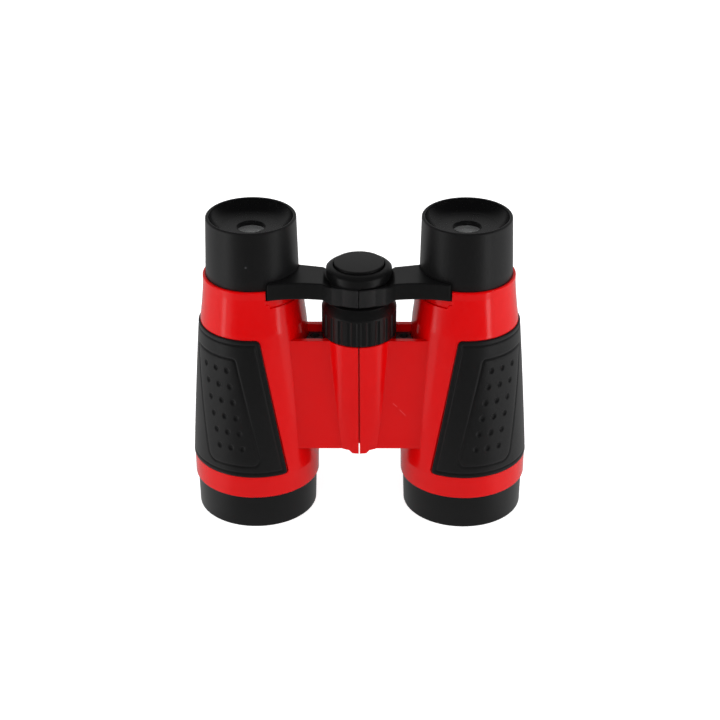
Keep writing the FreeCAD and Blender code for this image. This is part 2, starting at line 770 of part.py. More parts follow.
def focus_screw():
    """The screw that carries the wheel: a thread above it and a plain spindle through the hinge below it."""
    foot = CLIP_TOP - S.spindle_drop
    return turned("focus_screw", [
        (ZERO, foot),
        (S.spindle_radius, foot),
        (S.spindle_radius, BOSS_FOOT),
        (S.thread_radius, BOSS_FOOT),
        (S.thread_radius, S.screw_top - S.screw_chamfer),
        (S.thread_radius - S.screw_chamfer, S.screw_top),
        (ZERO, S.screw_top),
    ], y=HINGE_Y)


def focus_wheel():
    """The fluted finger wheel, hollow underneath round its boss."""
    ceiling = S.wheel_top - S.wheel_wall
    edge = S.wheel_edge * QUARTER_ROUND_SHARE
    wheel = turned("focus wheel blank", [
        (S.thread_radius, BOSS_FOOT),
        (S.boss_radius, BOSS_FOOT),
        (S.boss_radius, ceiling),
        (S.wheel_hollow, ceiling),
        (S.wheel_hollow, S.wheel_foot),
        (S.wheel_radius - S.wheel_edge, S.wheel_foot, edge),
        (S.wheel_radius, S.wheel_foot + S.wheel_edge),
        (S.wheel_radius, S.wheel_shoulder, edge),
        (S.wheel_top_radius, S.wheel_top - S.wheel_edge, edge),
        (S.wheel_top_radius - S.wheel_edge, S.wheel_top),
        (S.boss_radius, S.wheel_top),
        (S.boss_radius, BOSS_TOP),
        (S.thread_radius, BOSS_TOP),
    ], y=HINGE_Y)
    reach = S.wheel_radius - S.flute_depth + S.flute_radius
    flutes = []
    count = int(round(S.flute_count.value))
    for number in range(count):
        angle = 2 * math.pi * number / count
        flutes.append(cylinder(f"flute {number}", S.flute_radius, S.wheel_foot - S.overrun, S.flute_top,
                               x=reach * math.sin(angle), y=HINGE_Y - reach * math.cos(angle)))
    return cut("focus_wheel", wheel, joined("flutes", flutes))


# The bridge: two arms that meet in interleaved hubs.
SLEEVE_FOOT = BOSS_TOP + S.moving_gap


def arm_corner():
    """Where the hollow corner before the hub starts on the arm and ends on the hub, and its sag."""
    arm_line = S.arm_root_front - S.hinge_forward
    centre_front = arm_line + S.arm_fillet
    centre_reach = S.hub_radius + S.arm_fillet
    centre_side = root(centre_reach * centre_reach - centre_front * centre_front)
    end_side = centre_side * S.hub_radius / centre_reach
    end_front = centre_front * S.hub_radius / centre_reach
    across = centre_side - end_side
    along = end_front - arm_line
    half_chord = (across * across + along * along) / 4
    sag = S.arm_fillet - root(S.arm_fillet * S.arm_fillet - half_chord)
    return (-centre_side, -S.arm_root_front, sag), (-end_side, HINGE_Y - end_front)


def arm_beam():
    """The left arm as a solid strap from the hub to the eyepiece tube."""
    corner_start, corner_end = arm_corner()
    plan = prism("arm plan", "XY_Plane", [
        (-S.arm_reach, -S.arm_front, -S.arm_hollow),
        (-S.arm_root, -S.arm_root_front),
        corner_start,
        corner_end,
        (ZERO, corner_end[1]),
        (ZERO, HINGE_Y),
        (-S.hub_inner, -S.arm_back_root),
        (-S.arm_tube_side, -S.arm_back_outer),
        (-S.arm_reach, -S.arm_back_outer),
    ], S.arm_top - S.hub_foot, z=S.hub_foot)
    front = prism("arm front", "XZ_Plane", [
        (ZERO, S.hub_foot),
        (ZERO, S.hub_step),
        (-S.arm_rise_start, S.hub_step),
        (-S.arm_rise_end, S.arm_top),
        (-S.arm_reach - S.overrun, S.arm_top),
        (-S.arm_reach - S.overrun, S.arm_foot),
        (-S.arm_rise_end, S.arm_foot),
        (-S.arm_rise_start, S.hub_foot),
    ], S.axis_spacing, middle=True)
    return shared_part("arm beam", [plan, front])


def arm_trough():
    """The hollow of the arm, open underneath, between the hub and the tube."""
    inner_front = -S.arm_front + S.arm_wall
    foot = S.arm_foot - S.overrun
    top = S.arm_top - S.arm_wall
    hollow = prism("arm trough outline", "XY_Plane", [
        (-S.arm_reach + S.arm_wall, inner_front, -S.arm_hollow),
        (-S.arm_root, -S.arm_root_front + S.arm_wall),
        (-S.web_root, -S.arm_root_front + S.arm_wall),
        (-S.web_root, HINGE_Y),
        (-S.hub_inner, -S.arm_back_root - S.arm_wall),
        (-S.arm_tube_side, -S.arm_back_outer - S.arm_wall),
        (-S.arm_reach + S.arm_wall, -S.arm_back_outer - S.arm_wall),
    ], top - foot, z=foot)
    core = cylinder("trough core", S.hub_radius, foot - S.overrun, top + S.overrun, y=HINGE_Y)
    return cut("arm trough", hollow, core)


def arm_half():
    """The left arm with its half of the hub skirt, before the inside of the hub is added."""
    skirt = cylinder("hub skirt", S.hub_radius, S.hub_foot, S.hub_step, y=HINGE_Y)
    solid = joined("arm with skirt", [arm_beam(), skirt])
    sector = keep_sector("arm sector", S.hub_foot - S.overrun, S.arm_top + S.overrun)
    half = shared_part("arm in its sector", [solid, sector])
    tube = cylinder("tube room", S.tube_radius, S.hub_foot - S.overrun, S.arm_top + S.overrun, x=-BARREL_X)
    inside = cylinder("hub room", S.hub_inner, S.hub_foot - S.overrun, S.hub_step, y=HINGE_Y)
    return cut("left arm half", half, joined("arm hollows", [arm_trough(), tube, inside]))


def left_arm(half):
    """The left arm: its collar closes the hub, and its sleeve holds the thread."""
    collar = turned("hub collar", [
        (ZERO, S.hub_step),
        (S.collar_radius, S.hub_step),
        (S.collar_radius, S.collar_shoulder, S.collar_sag),
        (S.collar_top_radius, S.collar_top),
        (ZERO, S.collar_top),
    ], y=HINGE_Y)
    sleeve = cylinder("threaded sleeve", S.sleeve_radius, SLEEVE_FOOT, S.hub_step + S.cap_skin, y=HINGE_Y)
    solid = joined("left arm solid", [half, collar, sleeve])
    thread = cylinder("thread room", S.thread_radius + S.running_gap, SLEEVE_FOOT - S.overrun,
                      S.cap_foot + S.overrun, y=HINGE_Y)
    recess = cylinder("cap recess", S.cap_radius + S.cap_groove, S.cap_foot, S.collar_top + S.overrun,
                      y=HINGE_Y)
    return cut("left_bridge_arm", solid, joined("left arm cuts", [thread, recess]))


def right_arm(half):
    """The right arm: its ring turns on the left arm's sleeve, under the collar."""
    top = S.hub_step - S.moving_gap
    ring = cylinder("right hub ring", S.hub_inner - S.moving_gap, S.right_ring_foot, top, y=HINGE_Y)
    outer = shared_part("right ring seat", [
        cylinder("right ring disc", (S.hub_inner + S.hub_radius) / 2, S.right_ring_foot, top, y=HINGE_Y),
        mirrored("right arm sector", keep_sector("ring sector", S.right_ring_foot - S.overrun,
                                                 S.hub_step)),
    ])
    collar_room = cylinder("collar room", S.collar_radius + S.moving_gap, top, S.arm_top + S.overrun,
                           y=HINGE_Y)
    trimmed = cut("right arm trimmed", mirrored("right arm half", half), collar_room)
    bore = cylinder("sleeve room", S.sleeve_radius + S.running_gap, S.right_ring_foot - S.overrun,
                    S.hub_step + S.overrun, y=HINGE_Y)
    return cut("right_bridge_arm", joined("right arm solid", [trimmed, ring, outer]), bore)


def bridge_cap():
    """The plain disc in the top of the hub."""
    return turned("bridge_cap", [
        (S.cap_plug, S.cap_foot),
        (S.cap_radius, S.cap_foot),
        (S.cap_radius, S.cap_edge, dome_sag(S.cap_radius, S.cap_dome)),
        (ZERO, S.cap_edge + S.cap_dome),
        (ZERO, S.cap_edge + S.cap_dome - S.cap_skin),
        (S.cap_plug, S.cap_edge - S.cap_skin),
    ], y=HINGE_Y)


# Eyepieces.
HOLE_TOP = S.rim_top - S.dish_depth
HOLE_FOOT = HOLE_TOP - S.dish_wall
LENS_TOP = HOLE_FOOT - S.seat_gap
LENS_FOOT = LENS_TOP - S.eye_lens_edge


def eyepiece_tube():
    """The sliding tube, closed by the dish round the eye hole, with a socket for the lens below it."""
    inside = S.tube_radius - S.tube_wall
    socket_inner = S.eye_lens_radius + S.seat_gap
    socket_outer = socket_inner + S.socket_wall
    rim_outer = S.tube_radius - S.tube_taper
    rim_inner = rim_outer - S.rim_width
    round_foot = S.rim_top - S.rim_bulge
    rim_sag = S.rim_bulge * QUARTER_ROUND_SHARE
    return turned("left_eyepiece_tube", [
        (inside, S.tube_foot),
        (S.tube_radius, S.tube_foot),
        (S.tube_radius, S.tube_straight),
        (rim_outer, round_foot, rim_sag),
        ((rim_outer + rim_inner) / 2, S.rim_top, rim_sag),
        (rim_inner, round_foot, -S.dish_side_sag),
        (rim_inner - S.dish_side, HOLE_TOP + S.dish_rise, -S.dish_floor_sag),
        (S.eye_hole, HOLE_TOP),
        (S.eye_hole, HOLE_FOOT),
        (socket_inner, HOLE_FOOT),
        (socket_inner, HOLE_FOOT - S.socket_depth),
        (socket_outer, HOLE_FOOT - S.socket_depth),
        (socket_outer, HOLE_FOOT),
        (inside, HOLE_FOOT),
    ], x=-BARREL_X)


def eye_lens():
    """A lens that is hollow on both faces."""
    return lens("left_eye_lens", S.eye_lens_radius, S.retainer_bore, LENS_FOOT, LENS_TOP,
                S.eye_lens_hollow, -1)


def strap_lug():
    """The black plate in the wing pocket, with the hole for a neck cord."""
    under = S.lug_top - S.lug_thickness
    depth = wing_depth(S.lug_top) - S.wing_wall - S.seat_gap
    plate = prism("lug plate", "XY_Plane", [
        (-S.lug_inner, HINGE_Y - depth),
        (-S.lug_inner, HINGE_Y + depth),
        (-S.lug_outer + S.lug_corner, HINGE_Y + depth),
        (-S.lug_outer, HINGE_Y + depth - S.lug_corner),
        (-S.lug_outer, HINGE_Y - depth + S.lug_corner),
        (-S.lug_outer + S.lug_corner, HINGE_Y - depth),
    ], S.lug_thickness, z=under)
    room = barrel_radius(under) + S.side_sag + S.seat_gap
    hole_x = room + S.lug_hole_rim + S.lug_hole_radius - BARREL_X
    hole = cylinder("cord hole", S.lug_hole_radius, under - S.overrun, S.lug_top + S.overrun,
                    x=hole_x, y=-S.lug_hole_forward)
    barrel = cylinder("lug barrel room", room, under - S.overrun, S.lug_top + S.overrun, x=-BARREL_X)
    return cut("left_strap_lug", plate, joined("lug cuts", [hole, barrel]))


def build():
    """Every piece, by the name of its node."""
    nodes = barrels()
    half = arm_half()
    left = {
        "front_ring": front_ring(),
        "objective_lens": objective_lens(),
        "grip": grip(),
        "eyepiece_tube": eyepiece_tube(),
        "eye_lens": eye_lens(),
        "eye_lens_retainer": flat_ring("left_eye_lens_retainer", S.retainer_bore, S.eye_lens_radius,
                                       LENS_FOOT - S.retainer_height, LENS_FOOT, x=-BARREL_X, y=ZERO),
        "strap_lug": strap_lug(),
    }
    for name, shape in left.items():
        nodes["left_" + name] = shape
        nodes["right_" + name] = mirrored("right_" + name, shape)
    nodes["left_bridge_arm"] = left_arm(half)
    nodes["right_bridge_arm"] = right_arm(half)
    nodes["bridge_cap"] = bridge_cap()
    keeper_foot = S.right_ring_foot - S.moving_gap - S.keeper_height
    nodes["hub_keeper"] = flat_ring("hub_keeper", S.sleeve_radius, S.sleeve_radius + S.keeper_width,
                                    keeper_foot, keeper_foot + S.keeper_height)
    nodes["focus_wheel"] = focus_wheel()
    nodes["focus_screw"] = focus_screw()
    nodes["wheel_washer"] = flat_ring("wheel_washer", S.spindle_radius + S.running_gap, S.flange_radius,
                                      WASHER_FOOT, WASHER_TOP)
    nodes["hinge_axle"] = hinge_axle()
    nodes["spindle_clip"] = flat_ring("spindle_clip", S.spindle_radius, S.clip_radius,
                                      CLIP_TOP - S.clip_height, CLIP_TOP)
    return nodes


def check(nodes):
    """Stops at any failed object, and at any piece that isn't one sound solid."""
    failed = [thing.Label for thing in doc.Objects if {"Invalid", "Error"} & set(thing.State)]
    if failed:
        raise SystemExit("failed objects: " + ", ".join(failed))
    for name, thing in nodes.items():
        shape = thing.Shape
        if shape.isNull() or not shape.isValid() or len(shape.Solids) != 1:
            raise SystemExit(f"{name}: null {shape.isNull()}, solids {len(shape.Solids)}")


def export(nodes):
    """Writes each piece to its own file and prints its size."""
    os.makedirs("parts", exist_ok=True)
    for name, thing in sorted(nodes.items()):
        thing.Shape.exportStep(f"parts/{name}.step")
        size = thing.Shape.optimalBoundingBox(True, False)
        print(f"{name:26s} {thing.Shape.Volume:9.1f} mm3  z {size.ZMin:6.2f} to {size.ZMax:6.2f}")


pieces = build()
doc.recompute()
check(pieces)
export(pieces)
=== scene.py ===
# %% [markdown]
# # Toy binoculars
#
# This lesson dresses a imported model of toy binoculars: two glossy red barrels with soft black grips, black
# front rings and eyepieces, and a fluted focus wheel under a two-armed bridge.
# The hard pieces come from the frame at their real size, and keep their shape. They get finishes here.
# The grips and the focus screw are modelled again as meshes, because their dimples, grooves and thread are
# what the eye looks for up close.

# %% Load the frame
import bpy
import json
import math
import numpy as np
from mathutils import Matrix, Vector


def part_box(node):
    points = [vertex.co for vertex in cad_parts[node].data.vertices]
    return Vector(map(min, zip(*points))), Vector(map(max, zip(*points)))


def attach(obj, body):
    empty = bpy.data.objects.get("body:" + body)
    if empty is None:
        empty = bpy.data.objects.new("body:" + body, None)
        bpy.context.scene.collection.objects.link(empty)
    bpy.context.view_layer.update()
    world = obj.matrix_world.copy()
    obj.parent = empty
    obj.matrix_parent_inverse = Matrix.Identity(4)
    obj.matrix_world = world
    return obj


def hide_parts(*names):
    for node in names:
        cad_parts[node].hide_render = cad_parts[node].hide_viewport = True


MM = 0.001
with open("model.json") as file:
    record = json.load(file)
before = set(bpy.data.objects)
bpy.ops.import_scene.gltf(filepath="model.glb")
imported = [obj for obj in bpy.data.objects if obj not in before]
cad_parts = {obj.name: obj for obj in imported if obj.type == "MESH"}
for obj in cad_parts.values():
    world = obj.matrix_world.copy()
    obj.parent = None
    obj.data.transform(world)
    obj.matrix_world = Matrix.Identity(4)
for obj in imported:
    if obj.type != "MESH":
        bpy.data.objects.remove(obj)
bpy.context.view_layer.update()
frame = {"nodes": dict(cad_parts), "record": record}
nodes = frame["nodes"]
print("pieces in the frame:", len(nodes))

# %% [markdown]
# ## The camera
#
# The photo looks down on the binoculars from the front with a long lens. The numbers below were fitted to
# the round edges in the picture. A camera is easiest to place from the inside out: back along its own axis,
# tipped down, turned a little round the object, and lifted to the point that it looks at.

# %% Camera
CAMERA_DOWN = math.radians(28.26)
CAMERA_TURN = math.radians(0.52)
CAMERA_ROLL = math.radians(-0.163)
CAMERA_AIM = Vector((0.157, 0.0, 45.717)) * MM
CAMERA_AWAY = 619.64 * MM
NEAREST_SEEN = 10 * MM
FOCAL_PIXELS = 2161.7
IMAGE_PIXELS = 720
SENSOR = 36.0

camera = bpy.data.objects.new("camera", bpy.data.cameras.new("camera"))
bpy.context.scene.collection.objects.link(camera)
bpy.context.scene.camera = camera
camera.data.sensor_width = SENSOR
camera.data.lens = FOCAL_PIXELS / IMAGE_PIXELS * SENSOR
camera.data.clip_start = NEAREST_SEEN
camera.matrix_world = (
    Matrix.Rotation(CAMERA_TURN, 4, "Z")
    @ Matrix.Translation(CAMERA_AIM)
    @ Matrix.Rotation(math.pi / 2 - CAMERA_DOWN, 4, "X")
    @ Matrix.Rotation(CAMERA_ROLL, 4, "Z")
    @ Matrix.Translation((0, 0, CAMERA_AWAY)))
print("lens in mm:", round(camera.data.lens, 1))

# %% [markdown]
# ## A short way to write finishes
#
# A finish is a small network of nodes. Drawn by hand it is a page of wires, and written by hand it is a page
# of links. The two classes below let a finish read like a sum. A Wire is one output of a node, and sums with
# wires add Math nodes. Every other node comes from Finish.node, which sets the node's own settings first and
# then the values or wires of its sockets.

# %% Wires and finishes
class Wire:
    """One output of a node. Sums of wires and numbers add Math nodes."""

    def __init__(self, finish, socket):
        self.finish = finish
        self.socket = socket

    def math(self, operation, *values):
        return self.finish.node("ShaderNodeMath", {"operation": operation}, dict(enumerate(values)))

    def __add__(self, other):
        return self.math("ADD", self, other)

    def __sub__(self, other):
        return self.math("SUBTRACT", self, other)

    def __rsub__(self, other):
        return self.math("SUBTRACT", other, self)

    def __mul__(self, other):
        return self.math("MULTIPLY", self, other)

    def __abs__(self):
        return self.math("ABSOLUTE", self)

    __radd__ = __add__
    __rmul__ = __mul__

    def ramp(self, low, high, start=0.0, end=1.0):
        """A smooth step from start to end while the wire goes from low to high."""
        settings = {"interpolation_type": "SMOOTHSTEP"}
        return self.finish.node("ShaderNodeMapRange", settings, {0: self, 1: low, 2: high, 3: start, 4: end})


class Finish:
    """A node network, filled by adding nodes to it."""

    def __init__(self, owner):
        owner.use_nodes = True
        self.owner = owner
        self.tree = owner.node_tree
        self.tree.nodes.clear()

    def node(self, kind, settings=None, inputs=None, output=0):
        """Adds one node and gives back one of its outputs."""
        node = self.tree.nodes.new(kind)
        for name, value in (settings or {}).items():
            setattr(node, name, value)
        for name, value in (inputs or {}).items():
            if isinstance(value, Wire):
                self.tree.links.new(value.socket, node.inputs[name])
            else:
                node.inputs[name].default_value = value
        return Wire(self, node.outputs[output] if len(node.outputs) else None)


def new_finish(name):
    """An empty material and its network."""
    return Finish(bpy.data.materials.new(name))


print("helpers:", Wire.__name__, Finish.__name__, new_finish.__name__)

# %% [markdown]
# ## Places on the object
#
# A mark, a zone or a spot needs to know where it lies. These helpers measure places in millimetres on the
# object, so that the same scale holds on every piece, and a mark stays on its piece when the piece moves.

# %% Helpers for places
def place_mm(finish):
    """Where a point lies on the object, in millimetres."""
    metres = finish.node("ShaderNodeTexCoord", output="Object")
    return finish.node("ShaderNodeVectorMath", {"operation": "SCALE"}, {0: metres, "Scale": 1 / MM})


def vector(finish, operation, first, second=(0.0, 0.0, 0.0), output=0):
    """One Vector Math node on places, directions or scales."""
    return finish.node("ShaderNodeVectorMath", {"operation": operation}, {0: first, 1: second}, output)


def coordinate(finish, place, axis):
    """One coordinate of a place: 0 is to the right, 1 to the back and 2 up."""
    return finish.node("ShaderNodeSeparateXYZ", None, {0: place}, axis)


def spread(finish, place, middle, squeeze=(1.0, 1.0, 1.0)):
    """How far a place is from a middle, with each axis squeezed."""
    away = vector(finish, "MULTIPLY", vector(finish, "SUBTRACT", place, middle), squeeze)
    return vector(finish, "LENGTH", away, output="Value")


def along(finish, place, start, direction):
    """How far a place lies from a start along a direction."""
    return vector(finish, "DOT_PRODUCT", vector(finish, "SUBTRACT", place, start), direction, "Value")


print("helpers:", ", ".join(helper.__name__ for helper in (place_mm, vector, coordinate, spread, along)))

# %% [markdown]
# ## What a moulded surface is made of
#
# Moulded plastic is never quite flat or quite even. Four small things make it look real: a long shallow
# waviness from the mould, a fine grain, a slight change of gloss from handling, and edges that are rounded
# by a few tenths of a millimetre. The rounded edge comes from the Bevel node, which bends the surface normal
# near an edge.

# %% Helpers for surfaces
ROUNDING_SAMPLES = 6


def noise(finish, place, size, detail=2.0):
    """Cloudy variation from 0 to 1 whose spots are about so many millimetres wide."""
    return finish.node("ShaderNodeTexNoise", {"noise_dimensions": "3D"},
                       {"Vector": place, "Scale": 1 / size, "Detail": detail})


def opaque(colour):
    """A colour with its alpha of 1, as the sockets take it."""
    return (*colour, 1.0)


def blend_colours(finish, share, first, second):
    """One colour where the share is 0 and another where it is 1."""
    return finish.node("ShaderNodeMix", {"data_type": "RGBA"}, {0: share, 6: first, 7: second}, output=2)


def surface_normal(finish, height, depth_mm, edge_mm):
    """Bumps of a given depth on a surface whose edges are rounded."""
    rounded = finish.node("ShaderNodeBevel", {"samples": ROUNDING_SAMPLES}, {"Radius": edge_mm * MM})
    return finish.node("ShaderNodeBump", None,
                       {"Strength": 1.0, "Distance": depth_mm * MM, "Height": height, "Normal": rounded})


print("rays for a rounded edge:", ROUNDING_SAMPLES)

# %% [markdown]
# One function makes every plastic of the toy, because they differ in their numbers alone. Clouds change the
# colour and the gloss a little from place to place, and upright smears show where hands have been. A zone
# gives part of a piece another colour and gloss, and a spot is a small pale dot of painted highlight.

# %% Moulded plastic
CLOUD_SIZE = 14.0
SMEAR_SIZE = 1.6
SMEAR_STRETCH = (3.0, 3.0, 0.25)
SMEAR_FROM_TO = (0.60, 0.78)
# The pale colour of a spot is a painted highlight on a small moulding mark.
SPOT_HIGHLIGHT_COLOUR = (0.075, 0.075, 0.080)
SPOT_CORE = 0.3


def moulded(name, colour, roughness, wave=(2.5, 0.004), grain=(0.25, 0.0015), edge=0.25, handling=0.05,
            tint=0.12, zone=None, spot=None):
    """A moulded plastic: wave and grain are (width, depth), and a spot is (middle, radius), in millimetres.

    A zone is a function that gives a mask on the surface, with the colour and the roughness there.
    """
    finish = new_finish(name)
    place = place_mm(finish)
    waves = noise(finish, place, wave[0])
    grains = noise(finish, place, grain[0], detail=3.0)
    clouds = noise(finish, place, CLOUD_SIZE, detail=3.0)
    smears = noise(finish, vector(finish, "MULTIPLY", place, SMEAR_STRETCH), SMEAR_SIZE, detail=4.0)
    smears = smears.ramp(*SMEAR_FROM_TO)
    height = waves + grains * (grain[1] / wave[1])
    darker = [channel * (1 - tint) for channel in colour]
    base = blend_colours(finish, clouds, opaque(darker), opaque(colour))
    gloss = roughness + (clouds - 0.5) * handling + smears * handling
    if zone:
        where, zone_colour, zone_roughness = zone
        mask = where(finish, place)
        base = blend_colours(finish, mask, base, opaque(zone_colour))
        gloss = gloss + mask * (zone_roughness - roughness)
    if spot:
        middle, radius = spot
        spot_highlight = spread(finish, place, middle).ramp(radius * SPOT_CORE, radius, 1, 0)
        base = blend_colours(finish, spot_highlight, base, opaque(SPOT_HIGHLIGHT_COLOUR))
    finish.node("ShaderNodeOutputMaterial", None, {"Surface": finish.node("ShaderNodeBsdfPrincipled", None, {
        "Base Color": base,
        "Roughness": gloss,
        "Normal": surface_normal(finish, height, wave[1], edge),
    })})
    return finish.owner


print("smears in mm:", [round(SMEAR_SIZE / stretch, 1) for stretch in SMEAR_STRETCH])

# %% [markdown]
# ## Zones of the hard pieces
#
# The outsides of the eyepiece tubes and the skirt of the bridge hub are satin, while the dishes of the
# eyepieces are polished. The satin zones are also painted a lighter black, as painted sheen where the tubes
# and the hub catch the side light. The right wing has two short rubbed marks. A painted picture could say
# where, but it would have to be fitted to each piece. Here each zone is a mask instead: how far a place is
# from an axis or from a line, made into a smooth step.

# %% Zones
ACROSS_ONLY = (1.0, 1.0, 0.0)
ring_low, ring_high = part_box("left_front_ring")
BARREL_X = abs(ring_low.x + ring_high.x) / 2 / MM
hub_low, hub_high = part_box("bridge_cap")
HINGE_Y = (hub_low.y + hub_high.y) / 2 / MM
DISH_EDGE = (11.6, 12.2)
SKIRT_FADE = (9.9, 12.7)
SKIRT_STEP = (75.0, 75.1)
SCUFFS = (((9.4, -11.7, 38.3), (10.9, -11.7, 36.9)), ((11.2, -11.7, 36.4), (13.4, -11.7, 34.0)))
SCUFF_WIDTH = 0.42
SCUFF_FADE = (0.3, 0.6)
SCUFF_STRENGTH = 0.95


def satin_sheen_outside(finish, place):
    """The outside of the two eyepiece tubes, without their dishes, where a lighter black is painted sheen.
    """
    both = vector(finish, "ABSOLUTE", place)
    return spread(finish, both, (BARREL_X, 0.0, 0.0), ACROSS_ONLY).ramp(*DISH_EDGE)


def satin_sheen_skirt(finish, place):
    """The skirt of the bridge hub, below its step, where a lighter black is painted sheen."""
    away = spread(finish, place, (0.0, HINGE_Y, 0.0), ACROSS_ONLY)
    return away.ramp(*SKIRT_FADE, 1, 0) * coordinate(finish, place, 2).ramp(*SKIRT_STEP, 1, 0)


def scuffs(finish, place):
    """Two short rubbed marks in line on the flat of the right wing."""
    total = 0.0
    for start, end in SCUFFS:
        middle = [(first + second) / 2 for first, second in zip(start, end)]
        line = Vector(end) - Vector(start)
        way = line.normalized()
        run = abs(along(finish, place, middle, way))
        off = abs(along(finish, place, middle, way.cross(Vector((0.0, 1.0, 0.0)))))
        near = spread(finish, place, middle).ramp(line.length, line.length * 2, 1, 0)
        run = run.ramp(line.length * SCUFF_FADE[0], line.length * SCUFF_FADE[1], 1, 0)
        total = total + run * near * off.ramp(0, SCUFF_WIDTH, 1, 0)
    return total * SCUFF_STRENGTH


print("barrel axis at", round(BARREL_X, 2), "mm, hinge axis at", round(HINGE_Y, 2), "mm")

# %% [markdown]
# ## The finishes of the hard pieces
#
# The barrels are glossy red styrene, smooth enough to mirror the studio. The front rings and the eyepieces
# are a satin black, and the bridge and wheel a slightly rougher one, as a mould gives where it was blasted.
# Real black plastic isn't quite black, but it reflects less than three hundredths of the light, and most of
# it here less than one. What the eye sees on it is mostly the sheen. The bridge has the widest rounding,
# because its arms run into the hub without a sharp line.

# %% Hard finishes
RED = (0.78, 0.0008, 0.0016)
SCUFFED_RED = (0.80, 0.022, 0.024)
BLACK = (0.0034, 0.0034, 0.0037)
# A lighter black on the satin outsides of the eyepiece tubes: painted sheen.
SATIN_SHEEN_BLACK = (0.0085, 0.0085, 0.0088)
# A lighter black on the skirt of the bridge hub: painted sheen.
SKIRT_SHEEN_BLACK = (0.0165, 0.0165, 0.0170)
WORN_BLACK = (0.0062, 0.0062, 0.0064)
INNER_BLACK = (0.028, 0.028, 0.030)
NYLON = (0.70, 0.68, 0.62)
# Pale dots on the moulding gate marks of the left eyepiece tube and the left bridge arm: painted highlights.
GATE_HIGHLIGHT_SPOT = ((-30.97, -12.96, 81.22), 0.42)
ARM_HIGHLIGHT_SPOT = ((-14.8, -13.2, 74.34), 0.40)

finishes = {
    "red_shell": moulded("gloss red plastic", RED, 0.17, wave=(3.2, 0.003), grain=(0.35, 0.0006), edge=0.30,
                         tint=0.05, zone=(scuffs, SCUFFED_RED, 0.30)),
    "front_ring_black": moulded("front ring plastic", BLACK, 0.33, edge=0.25),
    "eyepiece_black": moulded("eyepiece plastic", BLACK, 0.26, wave=(3.0, 0.003), edge=0.30,
                              zone=(satin_sheen_outside, SATIN_SHEEN_BLACK, 0.42), spot=GATE_HIGHLIGHT_SPOT),
    "bridge_black": moulded("bridge plastic", WORN_BLACK, 0.36, edge=0.80,
                            zone=(satin_sheen_skirt, SKIRT_SHEEN_BLACK, 0.45), spot=ARM_HIGHLIGHT_SPOT),
    "wheel_black": moulded("wheel plastic", WORN_BLACK, 0.38, edge=0.15),
    "inner_black": moulded("inner plastic", INNER_BLACK, 0.42, edge=0.15),
    "washer_white": moulded("washer nylon", NYLON, 0.45, edge=0.10, tint=0.05),
}
print("hard finishes:", ", ".join(finishes))

# %% [markdown]
# ## Grip, glass and steel
#
# The grips are a soft black plastic, duller than the barrels and with a finer, deeper grain. Only the
# numbers differ from those of the hard plastics, so the same function makes it.

# %% Grip finish
GRIP_BLACK = (0.0080, 0.0080, 0.0083)
finishes["grip_rubber"] = moulded("soft grip", GRIP_BLACK, 0.42, wave=(0.9, 0.004), grain=(0.16, 0.003),
                                  edge=0.10, handling=0.08, tint=0.2)
print("grip finish:", finishes["grip_rubber"].name)

# %% [markdown]
# The lenses are clear and polished. Glass alone is nearly black in front of a dark tube, but the lenses
# show a little grey glint. A pale plastic mixed in thinly paints that glint as a painted reflection, and
# dust adds to it in specks.

# %% Glass
GLASS = (0.93, 0.96, 0.95)
GLASS_BENDING = 1.49
GLASS_ROUGHNESS = 0.02
DUST_ROUGHNESS = 0.12
DUST_SIZE = 0.5
DUST_FROM_TO = (0.62, 0.80)
# A pale diffuse layer in the glass: painted reflection of the lens glint, with more of it where dust lies.
PAINTED_GLINT_SHARE = 0.22
PAINTED_GLINT_COLOUR = (0.80, 0.81, 0.81)
PAINTED_GLINT_ROUGHNESS = 0.3


def lens_glass():
    """Clear glass with a trace of dust, and a pale layer mixed in as a painted reflection against the dark
    tube.
    """
    finish = new_finish("lens glass")
    dust = noise(finish, place_mm(finish), DUST_SIZE, detail=4.0).ramp(*DUST_FROM_TO)
    glass = finish.node("ShaderNodeBsdfPrincipled", None, {
        "Base Color": opaque(GLASS),
        "Roughness": GLASS_ROUGHNESS + dust * DUST_ROUGHNESS,
        "IOR": GLASS_BENDING,
        "Transmission Weight": 1.0,
    })
    painted_glint = finish.node("ShaderNodeBsdfPrincipled", None,
                       {"Base Color": opaque(PAINTED_GLINT_COLOUR), "Roughness": PAINTED_GLINT_ROUGHNESS})
    finish.node("ShaderNodeOutputMaterial", None, {
        "Surface": finish.node("ShaderNodeMixShader", None, {0: PAINTED_GLINT_SHARE + dust * PAINTED_GLINT_SHARE, 1: glass, 2: painted_glint})})
    return finish.owner


finishes["lens_clear"] = lens_glass()
print("glass finish:", finishes["lens_clear"].name)

# %% [markdown]
# The clip is spring steel, brushed along its stamping. Noise that is squeezed across the brushing and drawn
# out along it makes the fine lines. One noise drives the colour, the gloss and the bumps together, as the
# same scratches do on the metal.

# %% Steel
STEEL_DARK = (0.50, 0.50, 0.51)
STEEL_PALE = (0.62, 0.62, 0.62)
STEEL_ROUGHNESS = 0.22
BRUSH_ROUGHNESS = 0.16
BRUSH_SIZE = 0.3
BRUSH_STRETCH = (0.4, 6.0, 1.0)
BRUSH_DEPTH = 0.002
STEEL_EDGE = 0.08


